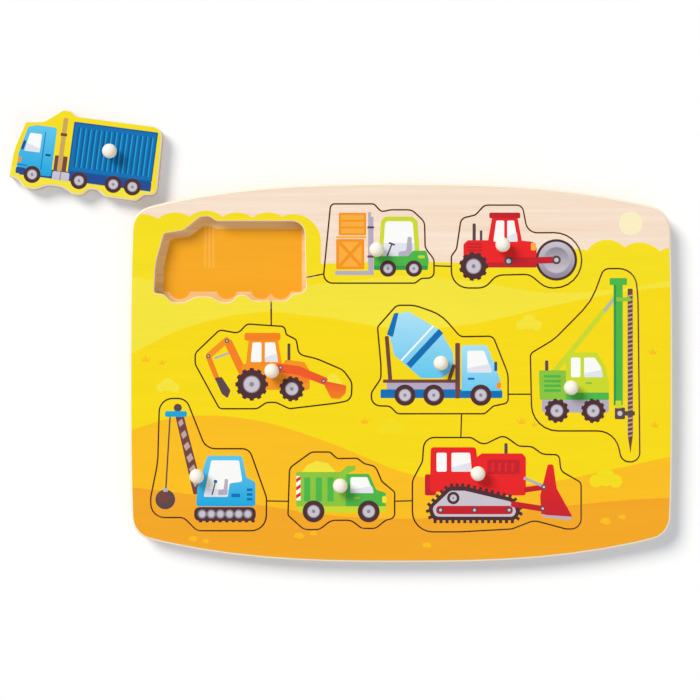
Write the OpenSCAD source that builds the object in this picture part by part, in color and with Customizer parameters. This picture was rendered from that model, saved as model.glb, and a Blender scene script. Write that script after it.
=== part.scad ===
// Wooden peg puzzle: a sawn plywood frame glued to a thin backing board, nine vehicle pieces
// cut from the same sheet, and a turned peg glued into each piece.
// Origin: centre of the board's underside. +X runs right, +Y runs up the picture,
// +Z comes out of the printed face.

/* [Board] */
// Width of the board across its middle
board_w = 298; // [270:1:360]
// Depth of the board across its middle
board_d = 208; // [185:1:260]
// How far the long edges fall from their middle to the corners
long_edge_rise = 15; // [0:0.5:20]
// How far the short edges fall from their middle to the corners
short_edge_rise = 1.5; // [0:0.5:6]
// Radius of the board's corners
board_corner_r = 13; // [4:0.5:20]
// Thickness of the sawn upper sheet and of the pieces
frame_t = 8; // [6:0.5:12]
// Thickness of the backing board
backing_t = 3; // [2:0.5:5]
// Width of the saw cut around each piece
saw_kerf = 0.7; // [0.3:0.1:1.2]

/* [Container truck] */
// Width of the container truck's cut line
truck_w = 83; // [74:0.5:92]
// Height of the container truck's cut line
truck_h = 46.5; // [42:0.5:52]
// Web between the container truck and the forklift
truck_forklift_web = 9.3; // [5:0.1:14]

/* [Forklift] */
// Width of the forklift's cut line
forklift_w = 61; // [54:0.5:68]
// Height of the forklift's cut line
forklift_h = 43.5; // [39:0.5:48]
// Web between the forklift and the road roller
forklift_roller_web = 9.5; // [5:0.1:14]

/* [Road roller] */
// Width of the road roller's cut line
roller_w = 71.5; // [64:0.5:79]
// Height of the road roller's cut line
roller_h = 45.5; // [41:0.5:50]
// How far the road roller reaches over the drill rig's left edge
roller_drill_nest = 28.2; // [20:0.1:30]

/* [Backhoe] */
// Width of the backhoe's cut line
backhoe_w = 86; // [77:0.5:95]
// Height of the backhoe's cut line
backhoe_h = 46.5; // [42:0.5:52]
// Web between the backhoe and the mixer truck
backhoe_mixer_web = 10.6; // [6:0.1:15]

/* [Mixer truck] */
// Width of the mixer truck's cut line
mixer_w = 75; // [67:0.5:83]
// Height of the mixer truck's cut line
mixer_h = 59.5; // [53:0.5:66]
// Web between the mixer truck and the drill rig
mixer_drill_web = 12.2; // [7:0.1:16]

/* [Drill rig] */
// Width of the drill rig's cut line
drill_w = 60; // [54:0.5:66]
// Height of the drill rig's cut line
drill_h = 106; // [95:0.5:116]

/* [Wrecking crane] */
// Width of the wrecking crane's cut line
crane_w = 63.5; // [57:0.5:70]
// Height of the wrecking crane's cut line
crane_h = 72.5; // [65:0.5:79]
// Web between the wrecking crane and the dump truck
crane_dump_web = 11.7; // [6:0.1:16]

/* [Dump truck] */
// Width of the dump truck's cut line
dump_w = 58.5; // [52:0.5:65]
// Height of the dump truck's cut line
dump_h = 42.5; // [38:0.5:47]
// Web between the dump truck and the bulldozer
dump_dozer_web = 9.7; // [6:0.1:15]

/* [Bulldozer] */
// Width of the bulldozer's cut line
dozer_w = 92.5; // [83:0.5:103]
// Height of the bulldozer's cut line
dozer_h = 52.5; // [47:0.5:58]

/* [Pegs] */
// Diameter of a peg's head
peg_head_d = 8; // [7:0.5:12]
// Height of a peg above its piece
peg_h = 9; // [7:0.5:14]
// Diameter of the neck under the head
peg_neck_d = 5.4; // [4.5:0.1:6.5]
// Diameter of the foot that seats on the piece
peg_foot_d = 6.6; // [6:0.1:8]
// Height of the foot's straight edge
peg_foot_h = 0.8; // [0.4:0.1:1.5]
// Height of the neck's narrowest point above the piece
peg_neck_h = 2.2; // [1.6:0.1:3]
// Diameter of the shank in the piece
peg_shank_d = 4.4; // [3.4:0.1:5]
// Length of the shank in the piece
peg_shank_len = 5; // [3:0.5:5.5]

/* [Loose piece] */
// How far the loose truck reaches past the board's side edge
loose_overlap = 17.5; // [0:0.5:30]
// Height of the loose truck's lower edge above the board's corners
loose_gap = 8; // [6:0.5:20]
// Turn of the loose truck, clockwise
loose_turn = 7.5; // [0:0.5:10]

/* [Hidden] */
// Slack around a glued shank
glue_gap = 0.05;
// Empty depth under a glued shank
bore_spare = 0.5;
// Bevel on the shank's end
shank_bevel = 0.4;
// Overrun of every cut past the face that it leaves
overrun = 1;
// Smallest radius left on an inner corner
least_r = 0.05;
// Angle between the points of a rounded corner
arc_step = 15;
// Number of straight stretches in a bowed edge
edge_steps = 16;
// Power of the bow: at 2 an edge bends evenly, above that it bends more towards its ends
bow_power = 2.7;
// Number of stretches in each curve of a peg's outline
peg_steps = 8;

// The upper two rows are nested: the first runs right from the truck, the drill rig nests under
// its roller, and the second runs back left from there. The third row stands by itself.
// Each block shares out the board's spare width between its two ends.
upper_left_share = 0.433;
lower_left_share = 0.19;
row1_w = truck_w + truck_forklift_web + forklift_w + forklift_roller_web + roller_w;
upper_w = row1_w - roller_drill_nest + drill_w;
lower_w = crane_w + crane_dump_web + dump_w + dump_dozer_web + dozer_w;
function row_start(row_w, left_share) = -board_w / 2 + (board_w - row_w) * left_share;

truck_x = row_start(upper_w, upper_left_share) + truck_w / 2;
forklift_x = truck_x + truck_w / 2 + truck_forklift_web + forklift_w / 2;
roller_x = forklift_x + forklift_w / 2 + forklift_roller_web + roller_w / 2;
drill_x = roller_x + roller_w / 2 - roller_drill_nest + drill_w / 2;
mixer_x = drill_x - drill_w / 2 - mixer_drill_web - mixer_w / 2;
backhoe_x = mixer_x - mixer_w / 2 - backhoe_mixer_web - backhoe_w / 2;
crane_x = row_start(lower_w, lower_left_share) + crane_w / 2;
dump_x = crane_x + crane_w / 2 + crane_dump_web + dump_w / 2;
dozer_x = dump_x + dump_w / 2 + dump_dozer_web + dozer_w / 2;

// Height of each piece's centre, as a share of the board's depth
truck_y_share = 0.299;
forklift_y_share = 0.341;
roller_y_share = 0.333;
backhoe_y_share = 0.017;
mixer_y_share = 0.035;
drill_y_share = 0.02;
crane_y_share = -0.242;
dump_y_share = -0.311;
dozer_y_share = -0.293;

// Corners of each cut line, clockwise from the lower left: across, up and radius.
// Across and radius are shares of the piece's width, up is a share of its height.
truck_shares = [
    [0, 0.11, 0.02], [0.01, 0.45, 0.26], [0.065, 0.8, 0.016], [0.19, 0.835, 0.05],
    [0.305, 1, 0.05], [0.36, 1, 0.04], [0.405, 0.945, 0.04], [0.985, 0.945, 0.08],
    [1, 0.115, 0.05], [0.915, 0.105, 0.04], [0.87, 0.02, 0.04], [0.655, 0.02, 0.05],
    [0.6, 0.09, 0.05], [0.545, 0.09, 0.05], [0.505, 0, 0.05], [0.44, 0, 0.05],
    [0.37, 0.07, 0.1], [0.27, 0.07, 0.1], [0.195, 0, 0.05], [0.12, 0, 0.05],
    [0.06, 0.1, 0.05]
];
forklift_shares = [
    [0, 0, 0.08], [0.07, 1, 0.04], [0.46, 1, 0.04], [0.525, 0.9, 0.045],
    [0.61, 0.925, 0.09], [0.8, 0.925, 0.09], [0.915, 0.775, 0.09], [0.92, 0.445, 0.09],
    [1, 0.3, 0.07], [1, 0.065, 0.055], [0.885, 0.06, 0.055], [0.83, 0, 0.045]
];
roller_shares = [
    [0, 0, 0.13], [0, 0.385, 0.04], [0.04, 0.47, 0.06], [0.075, 0.84, 0.055],
    [0.185, 0.88, 0.06], [0.255, 1, 0.055], [0.545, 1, 0.055], [0.585, 0.665, 0.09],
    [1, 0.67, 0.21], [1, 0, 0.21], [0.725, 0, 0.15], [0.6, 0.165, 0.11],
    [0.345, 0.155, 0.11], [0.26, 0, 0.12]
];
backhoe_shares = [
    [0.155, 0, 0.03], [0, 0.525, 0.06], [0, 0.655, 0.045], [0.155, 0.93, 0.04],
    [0.275, 0.89, 0.05], [0.33, 1, 0.04], [0.57, 0.97, 0.03], [0.58, 0.875, 0.025],
    [0.645, 0.815, 0.03], [0.66, 0.64, 0.05], [0.775, 0.59, 0.2], [0.945, 0.455, 0.09],
    [1, 0.31, 0.07], [0.995, 0.1, 0.055], [0.895, 0.065, 0.12], [0.6, 0, 0.05],
    [0.515, 0.075, 0.05], [0.455, 0.075, 0.05], [0.395, 0, 0.05]
];
mixer_shares = [
    [0, 0.075, 0.065], [0, 0.195, 0.065], [0.07, 0.325, 0.075], [0.07, 0.45, 0.15],
    [0.045, 0.8, 0.045], [0.185, 1, 0.06], [0.315, 1, 0.2], [0.51, 0.915, 0.3],
    [0.65, 0.71, 0.06], [0.89, 0.715, 0.05], [1, 0.365, 0.18], [1, 0.1, 0.035],
    [0.89, 0.07, 0.035], [0.83, 0, 0.045], [0.19, 0, 0.045], [0.135, 0.07, 0.045]
];
drill_shares = [
    [0.015, 0.16, 0.24], [0, 0.56, 0.055], [0.22, 0.635, 0.27], [0.56, 0.83, 0.55],
    [0.67, 1, 0.075], [0.96, 1, 0.165], [0.985, 0.84, 0.5], [1, 0, 0.085],
    [0.835, 0, 0.085], [0.775, 0.16, 0.2]
];
crane_shares = [
    [0, 0.1, 0.12], [0, 0.255, 0.1], [0.06, 0.515, 0.5], [0.075, 1, 0.115],
    [0.305, 1, 0.1], [0.475, 0.62, 0.12], [0.85, 0.62, 0.085], [1, 0.25, 0.12],
    [0.995, 0, 0.13], [0.4, 0, 0.08], [0.285, 0.1, 0.08]
];
dump_shares = [
    [0.15, 0, 0.09], [0, 0.185, 0.04], [0.015, 0.795, 0.075], [0.22, 1, 0.09],
    [0.395, 1, 0.04], [0.46, 0.915, 0.045], [0.65, 0.92, 0.055], [0.715, 0.85, 0.075],
    [0.82, 0.815, 0.075], [0.88, 0.62, 0.075], [1, 0.485, 0.045], [1, 0.15, 0.055],
    [0.915, 0.12, 0.075], [0.82, 0.015, 0.075], [0.69, 0.015, 0.075], [0.595, 0.12, 0.11],
    [0.405, 0.12, 0.11], [0.295, 0, 0.09]
];
dozer_shares = [
    [0, 0, 0.12], [0, 0.535, 0.08], [0.06, 0.735, 0.06], [0.07, 0.985, 0.065],
    [0.35, 0.985, 0.05], [0.42, 0.905, 0.06], [0.54, 1.01, 0.055], [0.63, 0.895, 0.05],
    [0.71, 0.89, 0.06], [0.77, 0.81, 0.07], [0.87, 0.805, 0.03], [0.88, 0.635, 0.05],
    [1, 0.515, 0.035], [1, 0.03, 0.06], [0.91, 0.03, 0.07], [0.72, 0.12, 0.085],
    [0.59, 0.03, 0.085], [0.28, 0, 0.35]
];

// Place of each peg, as shares of its piece's width and height
truck_peg_shares = [0.657, 0.563];
forklift_peg_shares = [0.483, 0.416];
roller_peg_shares = [0.389, 0.515];
backhoe_peg_shares = [0.49, 0.446];
mixer_peg_shares = [0.505, 0.467];
drill_peg_shares = [0.362, 0.384];
crane_peg_shares = [0.403, 0.416];
dump_peg_shares = [0.49, 0.572];
dozer_peg_shares = [0.385, 0.614];

// One record for each vehicle: size, place in the board, cut line, peg place and colour
truck = [[truck_w, truck_h], [truck_x, truck_y_share * board_d],
    truck_shares, truck_peg_shares, "deepskyblue"];
forklift = [[forklift_w, forklift_h], [forklift_x, forklift_y_share * board_d],
    forklift_shares, forklift_peg_shares, "yellowgreen"];
roller = [[roller_w, roller_h], [roller_x, roller_y_share * board_d],
    roller_shares, roller_peg_shares, "crimson"];
backhoe = [[backhoe_w, backhoe_h], [backhoe_x, backhoe_y_share * board_d],
    backhoe_shares, backhoe_peg_shares, "darkorange"];
mixer = [[mixer_w, mixer_h], [mixer_x, mixer_y_share * board_d],
    mixer_shares, mixer_peg_shares, "lightskyblue"];
drill = [[drill_w, drill_h], [drill_x, drill_y_share * board_d],
    drill_shares, drill_peg_shares, "limegreen"];
crane = [[crane_w, crane_h], [crane_x, crane_y_share * board_d],
    crane_shares, crane_peg_shares, "skyblue"];
dump = [[dump_w, dump_h], [dump_x, dump_y_share * board_d],
    dump_shares, dump_peg_shares, "mediumseagreen"];
dozer = [[dozer_w, dozer_h], [dozer_x, dozer_y_share * board_d],
    dozer_shares, dozer_peg_shares, "red"];
vehicles = [truck, forklift, roller, backhoe, mixer, drill, crane, dump, dozer];

function size_of(vehicle) = vehicle[0];
function place_of(vehicle) = vehicle[1];
function shares_of(vehicle) = vehicle[2];
function peg_shares_of(vehicle) = vehicle[3];
function colour_of(vehicle) = vehicle[4];

// A point of a piece given as shares of its box, measured from the box's centre
function box_point(vehicle, shares) = [
    size_of(vehicle)[0] * (shares[0] - 1 / 2),
    size_of(vehicle)[1] * (shares[1] - 1 / 2)
];

// Saw cuts that lead from one well into the next: each end is a vehicle and a point in its well
saw_links = [
    [truck, [0.985, 0.28], forklift, [0.02, 0.12]],
    [forklift, [0.985, 0.22], roller, [0.015, 0.26]],
    [truck, [0.77, 0.03], backhoe, [0.485, 0.965]],
    [mixer, [0.985, 0.18], drill, [0.02, 0.35]],
    [mixer, [0.66, 0.015], dozer, [0.287, 0.965]],
    [crane, [0.98, 0.225], dump, [0.02, 0.365]],
    [dump, [0.985, 0.365], dozer, [0.015, 0.325]]
];

// Neighbours of item i in a closed list
function before(list, i) = list[(i + len(list) - 1) % len(list)];
function after(list, i) = list[(i + 1) % len(list)];
function flat(p) = [p[0], p[1]];
function unit(v) = v / norm(v);
// Turn of a clockwise outline at corner i: positive where the outline is convex
function turn_at(corners, i) =
    let (a = unit(flat(corners[i]) - flat(before(corners, i))),
         b = unit(flat(after(corners, i)) - flat(corners[i])))
    atan2(b[0] * a[1] - b[1] * a[0], a * b);

// Corner radii cut back so that neighbouring roundings never run into each other
function eased(corners) =
    let (n = len(corners),
         tangents = [for (i = [0:n - 1]) corners[i][2] * tan(abs(turn_at(corners, i)) / 2)],
         edges = [for (i = [0:n - 1]) norm(flat(after(corners, i)) - flat(corners[i]))])
    [for (i = [0:n - 1])
        let (taken_before = before(tangents, i) + tangents[i],
             taken_after = tangents[i] + after(tangents, i),
             fit = min(1,
                 taken_before > 0 ? before(edges, i) / taken_before : 1,
                 taken_after > 0 ? edges[i] / taken_after : 1))
        [corners[i][0], corners[i][1], corners[i][2] * fit]];

// The same outline moved outwards all round; a negative distance moves it inwards
function grown(corners, distance) =
    [for (i = [0:len(corners) - 1])
        let (a = unit(flat(corners[i]) - flat(before(corners, i))),
             b = unit(flat(after(corners, i)) - flat(corners[i])),
             out_a = [-a[1], a[0]],
             out_b = [-b[1], b[0]],
             shift = (out_a + out_b) * distance / (1 + out_a * out_b),
             bend = turn_at(corners, i) > 0 ? 1 : -1)
        [corners[i][0] + shift[0], corners[i][1] + shift[1],
            corners[i][2] > 0 ? max(least_r, corners[i][2] + bend * distance) : 0]];

// Points of an outline with every corner drawn as an arc
function rounded(corners) =
    [for (i = [0:len(corners) - 1])
        let (p = flat(corners[i]),
             r = corners[i][2],
             a = unit(p - flat(before(corners, i))),
             b = unit(flat(after(corners, i)) - p),
             turn = turn_at(corners, i),
             bend = turn > 0 ? 1 : -1,
             start = p - a * r * tan(abs(turn) / 2),
             centre = start + [a[1], -a[0]] * bend * r,
             first = atan2(start[1] - centre[1], start[0] - centre[0]),
             steps = r > 0 ? max(1, ceil(abs(turn) / arc_step)) : 0)
        each (steps == 0 ? [p] : [for (k = [0:steps])
            centre + r * [cos(first - turn * k / steps), sin(first - turn * k / steps)]])];

// Corners of a vehicle's cut line, about the centre of its box
function cut_corners(vehicle) =
    eased([for (s = shares_of(vehicle))
        [each box_point(vehicle, s), s[2] * size_of(vehicle)[0]]]);

// Points along a bowed edge from its left end to its right end, ends left out
function bowed(half, reach, rise) =
    [for (k = [1:edge_steps - 1])
        let (t = 2 * k / edge_steps - 1) [t * half, reach - rise * pow(abs(t), bow_power), 0]];

// Corners of the board, clockwise from the lower left
function board_corners() =
    let (half_w = board_w / 2,
         half_d = board_d / 2,
         corner_x = half_w - short_edge_rise,
         corner_y = half_d - long_edge_rise,
         top = bowed(corner_x, half_d, long_edge_rise),
         side = bowed(corner_y, half_w, short_edge_rise))
    [[-corner_x, -corner_y, board_corner_r],
        for (p = side) [-p[1], p[0], 0],
        [-corner_x, corner_y, board_corner_r],
        each top,
        [corner_x, corner_y, board_corner_r],
        for (p = side) [p[1], -p[0], 0],
        [corner_x, -corner_y, board_corner_r],
        for (p = top) [-p[0], -p[1], 0]];

// A solid sheet of the board's full outline
module board_sheet(thickness) {
    linear_extrude(height = thickness)
        polygon(rounded(eased(board_corners())));
}

// The hole that the saw leaves in the frame for one vehicle
module well_cut(vehicle) {
    translate([each place_of(vehicle), backing_t - overrun])
        linear_extrude(height = frame_t + 2 * overrun)
            polygon(rounded(grown(cut_corners(vehicle), saw_kerf / 2)));
}

// A straight saw cut from one well to another
module link_cut(link) {
    start = place_of(link[0]) + box_point(link[0], link[1]);
    end = place_of(link[2]) + box_point(link[2], link[3]);
    run = end - start;
    translate([each start, backing_t - overrun])
        rotate([0, 0, atan2(run[1], run[0])])
            translate([0, -saw_kerf / 2, 0])
                cube([norm(run), saw_kerf, frame_t + 2 * overrun]);
}

// Sawn upper sheet with nine wells and the cuts that join them
module frame_board() {
    color("gold")
        difference() {
            translate([0, 0, backing_t])
                board_sheet(frame_t);
            for (vehicle = vehicles)
                well_cut(vehicle);
            for (link = saw_links)
                link_cut(link);
        }
}

// Thin sheet glued under the frame, the floor of every well
module backing_board() {
    color("burlywood")
        board_sheet(backing_t);
}

// One vehicle sawn from the upper sheet, with the bore for its peg, about its own centre
module sawn_piece(vehicle) {
    peg_at = box_point(vehicle, peg_shares_of(vehicle));
    bore_depth = peg_shank_len + bore_spare;
    color(colour_of(vehicle))
        difference() {
            linear_extrude(height = frame_t)
                polygon(rounded(grown(cut_corners(vehicle), -saw_kerf / 2)));
            translate([each peg_at, frame_t - bore_depth])
                cylinder(h = bore_depth + overrun, d = peg_shank_d + 2 * glue_gap, $fn = 64);
        }
}

// Half outline of a turned peg: shank, foot, waisted neck and domed head
function peg_outline() =
    let (shank_r = peg_shank_d / 2,
         foot_r = peg_foot_d / 2,
         neck_r = peg_neck_d / 2,
         head_r = peg_head_d / 2,
         head_half = (peg_h - peg_neck_h) / 2,
         head_z = peg_h - head_half)
    [[0, -peg_shank_len],
        [shank_r - shank_bevel, -peg_shank_len],
        [shank_r, shank_bevel - peg_shank_len],
        [shank_r, 0],
        [foot_r, 0],
        for (k = [0:peg_steps])
            let (t = 180 * k / peg_steps)
            [neck_r + (foot_r - neck_r) * (1 + cos(t)) / 2,
                peg_foot_h + (peg_neck_h - peg_foot_h) * k / peg_steps],
        for (k = [1:peg_steps - 1])
            let (t = 90 * k / peg_steps)
            [neck_r + (head_r - neck_r) * sin(t), head_z - head_half * cos(t)],
        for (k = [0:peg_steps - 1])
            let (t = 90 * k / peg_steps) [head_r * cos(t), head_z + head_half * sin(t)],
        [0, peg_h]];

// One peg, with its foot seated on top of its piece
module turned_peg(vehicle) {
    color("ivory")
        translate([each box_point(vehicle, peg_shares_of(vehicle)), frame_t])
            rotate_extrude($fn = 64)
                polygon(peg_outline());
}

// A vehicle lying in its well
module in_well(vehicle) {
    translate([each place_of(vehicle), backing_t])
        children();
}

// The container truck lying loose beside the board's corner, on the same table
module beside_board() {
    loose_x = loose_overlap - (board_w + truck_w) / 2;
    loose_y = board_d / 2 - long_edge_rise + loose_gap + truck_h / 2;
    translate([loose_x, loose_y, 0])
        rotate([0, 0, -loose_turn])
            children();
}

module container_truck_piece() { beside_board() sawn_piece(truck); }
module container_truck_peg() { beside_board() turned_peg(truck); }
module forklift_piece() { in_well(forklift) sawn_piece(forklift); }
module forklift_peg() { in_well(forklift) turned_peg(forklift); }
module road_roller_piece() { in_well(roller) sawn_piece(roller); }
module road_roller_peg() { in_well(roller) turned_peg(roller); }
module backhoe_piece() { in_well(backhoe) sawn_piece(backhoe); }
module backhoe_peg() { in_well(backhoe) turned_peg(backhoe); }
module mixer_truck_piece() { in_well(mixer) sawn_piece(mixer); }
module mixer_truck_peg() { in_well(mixer) turned_peg(mixer); }
module drill_rig_piece() { in_well(drill) sawn_piece(drill); }
module drill_rig_peg() { in_well(drill) turned_peg(drill); }
module wrecking_crane_piece() { in_well(crane) sawn_piece(crane); }
module wrecking_crane_peg() { in_well(crane) turned_peg(crane); }
module dump_truck_piece() { in_well(dump) sawn_piece(dump); }
module dump_truck_peg() { in_well(dump) turned_peg(dump); }
module bulldozer_piece() { in_well(dozer) sawn_piece(dozer); }
module bulldozer_peg() { in_well(dozer) turned_peg(dozer); }

frame_board();
backing_board();
container_truck_piece();
container_truck_peg();
forklift_piece();
forklift_peg();
road_roller_piece();
road_roller_peg();
backhoe_piece();
backhoe_peg();
mixer_truck_piece();
mixer_truck_peg();
drill_rig_piece();
drill_rig_peg();
wrecking_crane_piece();
wrecking_crane_peg();
dump_truck_piece();
dump_truck_peg();
bulldozer_piece();
bulldozer_peg();
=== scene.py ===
import math

import bmesh
import bpy
import numpy as np
from mathutils import Matrix, Vector
from mathutils.geometry import delaunay_2d_cdt


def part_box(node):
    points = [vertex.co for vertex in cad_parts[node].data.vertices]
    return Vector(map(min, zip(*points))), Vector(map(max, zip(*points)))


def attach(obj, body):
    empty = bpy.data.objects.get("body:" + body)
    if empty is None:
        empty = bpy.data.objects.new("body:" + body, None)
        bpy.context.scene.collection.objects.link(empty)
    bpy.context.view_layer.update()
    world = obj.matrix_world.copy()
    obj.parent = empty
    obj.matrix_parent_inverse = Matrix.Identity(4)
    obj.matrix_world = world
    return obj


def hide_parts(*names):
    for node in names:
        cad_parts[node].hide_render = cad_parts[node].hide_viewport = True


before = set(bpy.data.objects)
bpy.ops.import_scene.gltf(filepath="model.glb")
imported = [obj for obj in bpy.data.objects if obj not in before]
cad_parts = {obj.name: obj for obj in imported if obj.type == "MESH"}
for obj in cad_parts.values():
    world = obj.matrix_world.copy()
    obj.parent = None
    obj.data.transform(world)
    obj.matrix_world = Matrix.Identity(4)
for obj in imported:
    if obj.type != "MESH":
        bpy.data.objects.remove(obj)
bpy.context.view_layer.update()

# Sheets: lengths in millimetres, angles in radians
MM = 0.001
FRAME_PLIES = 5
BACKING_PLIES = 3
BOARD_ARRIS = 1.2
LOOSE_ARRIS = 0.8
OPEN_WELL_ARRIS = 0.45
WELL_ARRIS = 0.08
PIECE_ARRIS = 0.08
GLUE_LINE = 0.04
KERF = 0.7
TRUCK_WELL = (-135.19, 38.94)
TRUCK_SIZE = (83.0, 46.5)
WELL_MARGIN = 2 * KERF
LOOSE_TURN = math.radians(-7.5)
SHEET_CREASE = math.radians(20)

# Width of the board's edge that has the wide arris, and the arris above which the top plies are painted
# pale (sanded wood and a painted highlight) and below which they are painted brown (painted shade in
# kerfs and wells)
RIM = 3.0
FINE_ARRIS = 0.2

# How far each turn of an arris goes out and down, as shares of its width
ARRIS_TURNS = ((0.62, -0.26), (0.38, -0.74))

# Upright part of a normal above which a face counts as level
LEVEL = 0.97

# Pegs: lengths in millimetres, angles in radians
PEG_HEAD_R = 4.0
PEG_NECK_R = 2.7
PEG_FOOT_R = 3.3
PEG_FOOT_H = 0.8
PEG_NECK_H = 2.2
PEG_SEAT = 0.03
PEG_SIDES = 56
PEG_STEPS = 12
PEG_CREASE = math.radians(40)

# Ring on the underside of a peg's foot, as a share, and how fast the grain changes from peg to peg
PEG_FOOT_RING = 0.6
GRAIN_SHIFT = 3.0

# Steps round a corner, round a disc and along a stretch of a crest line
ARC_STEPS = 4
DISC_STEPS = 36
RIDGE_STEPS = 8

# Most of a side that a round corner takes, and the distance within which drawn points are one
CORNER_REACH = 0.48
NEAR = 0.0005

# Shape number of a triangle that carries no ink
BARE = -1

# Distances within which points are one or lie on one level, and the depth of the grain, in metres
JOIN = 0.000001
WELD = 0.000002
FLAT = 0.000005
RELIEF = 0.0001

# Printing inks
INKS = {
    "lemon": "F7E01C", "straw": "F7E63C", "yellow": "F9DC12", "amber": "FCC01E",
    "ochre": "F5A823", "cream": "FBF1C4", "white": "FCFCFA", "mist": "E3E6F0",
    "tyre": "4A2C30", "rim": "8F8794", "hub": "CBC5D0", "steel": "B7AFC0",
    "iron": "59444A", "brown": "70443E", "blush": "C3A7A2", "tan": "CFA85C",
    "navy": "1F4A94", "ocean": "0B6FB4", "deep": "045A92", "azure": "16A6DE",
    "sky": "5FC8F0", "ice": "ACE2F8", "orange": "F7941E", "apricot": "FBAF3E",
    "flame": "EF5A28", "tangerine": "F58220", "red": "EA2427", "crimson": "C4202B",
    "lime": "CBDB2E", "leaf": "8BC53F", "green": "4CB648", "forest": "2F9A4A",
    "lilac": "B5A9C4", "shade": "F6AA22", "glow": "FAB649",
}

# Woods: darker streaks, lighter streaks and the tone that drifts through them
WOODS = {
    "bare": ("F4D9C0", "FBE8D7", "F6DCC4"), "backing": ("EFBD7E", "F9D9A1", "F4C98D"),
    "peg": ("F8EEDC", "FDF8EE", "FAF2E2"),
    "long_ply": ("F2DAB2", "FAE9CC"), "cross_ply": ("CFA46E", "E4C294"),
}
# Pale for the top plies of wide arrises: sanded wood with a painted highlight
SANDED_AND_HIGHLIGHT = "FFF3D8"
# Brown for the top plies of fine arrises at kerfs, wells and the backing's seam: painted shade in the
# narrow gaps
PAINTED_KERF_SHADE = "C07A2C"


def linear(code):
    """A colour code as the renderer's linear colour."""
    parts = [int(code[i:i + 2], 16) / 255 for i in (0, 2, 4)]
    return [c / 12.92 if c <= 0.04045 else ((c + 0.055) / 1.055) ** 2.4 for c in parts] + [1.0]


# Helpers for node trees of both kinds
def add(tree, kind, wires=None, **settings):
    node = tree.nodes.new(kind)
    for name, value in settings.items():
        setattr(node, name, value)
    for socket, source in (wires or {}).items():
        if isinstance(source, bpy.types.NodeSocket):
            tree.links.new(source, node.inputs[socket])
        else:
            node.inputs[socket].default_value = source
    return node


def number(tree, operation, first, second=0.0):
    return add(tree, "ShaderNodeMath", {0: first, 1: second}, operation=operation).outputs[0]


def times(tree, first, second):
    return number(tree, "MULTIPLY", first, second)


# Materials
def new_material(name):
    material = bpy.data.materials.new(name)
    material.use_nodes = True
    tree = material.node_tree
    shader = tree.nodes["Principled BSDF"]
    return material, tree, shader


def attribute(tree, name, output):
    return add(tree, "ShaderNodeAttribute", attribute_name=name).outputs[output]


def streaks(tree, place, scale, detail, roughness=0.55):
    """Noise drawn out by the scale given for each direction."""
    mapping = add(tree, "ShaderNodeMapping", {"Vector": place, "Scale": scale})
    return add(tree, "ShaderNodeTexNoise",
               {"Vector": mapping.outputs["Vector"], "Scale": 1.0, "Detail": detail,
                "Roughness": roughness}).outputs["Fac"]


def span(tree, value, low, high, from_low=0.25, from_high=0.75):
    return add(tree, "ShaderNodeMapRange",
               {"Value": value, "From Min": from_low, "From Max": from_high,
                "To Min": low, "To Max": high}).outputs["Result"]


def blend(tree, kind, share, first, second):
    wires = {0: share, 6: first, 7: second}
    return add(tree, "ShaderNodeMix", wires, data_type="RGBA", blend_type=kind).outputs[2]


def streaked(tree, wood, share, drift=0.0):
    """A wood's colour: its lighter streaks by the share, its third tone by the drift."""
    dark, light, *third = [linear(code) for code in WOODS[wood]]
    colour = blend(tree, "MIX", share, dark, light)
    return blend(tree, "MIX", drift, colour, third[0]) if third else colour


def set_finish(tree, shader, colour, tone, roughness, specular, grain, relief):
    tree.links.new(blend(tree, "MULTIPLY", 1.0, colour, tone), shader.inputs["Base Color"])
    tree.links.new(roughness, shader.inputs["Roughness"])
    shader.inputs["Specular IOR Level"].default_value = specular
    bump = add(tree, "ShaderNodeBump", {"Height": grain, "Strength": relief, "Distance": RELIEF})
    tree.links.new(bump.outputs["Normal"], shader.inputs["Normal"])


def make_printed_ink():
    material, tree, shader = new_material("printed_ink")
    place = attribute(tree, "grain", "Vector")
    ink = attribute(tree, "ink", "Color")
    fine = streaks(tree, place, (60, 2400, 2400), 4)
    broad = streaks(tree, place, (9, 120, 120), 3)
    speck = streaks(tree, place, (5200, 5200, 5200), 2)
    tone = times(tree, span(tree, fine, 0.965, 1.01), span(tree, broad, 0.97, 1.01))
    tone = times(tree, tone, span(tree, speck, 0.985, 1.01))
    set_finish(tree, shader, ink, tone, span(tree, fine, 0.42, 0.56), 0.12, fine, 0.12)
    return material


def make_bare_face(wood):
    material, tree, shader = new_material(wood + "_plywood_face")
    place = attribute(tree, "grain", "Vector")
    drift = streaks(tree, place, (5, 26, 26), 2)
    figure = streaks(tree, place, (7, 340, 340), 5, 0.6)
    fine = streaks(tree, place, (70, 3000, 3000), 4)
    pores = streaks(tree, place, (160, 5200, 5200), 1)
    figure = span(tree, figure, 0.0, 1.0, 0.34, 0.66)
    base = streaked(tree, wood, figure, span(tree, drift, 0.0, 0.45))
    tone = times(tree, span(tree, fine, 0.965, 1.01), span(tree, pores, 1.0, 0.95, 0.66, 0.74))
    set_finish(tree, shader, base, tone, span(tree, fine, 0.52, 0.68), 0.15, fine, 0.2)
    return material


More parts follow.
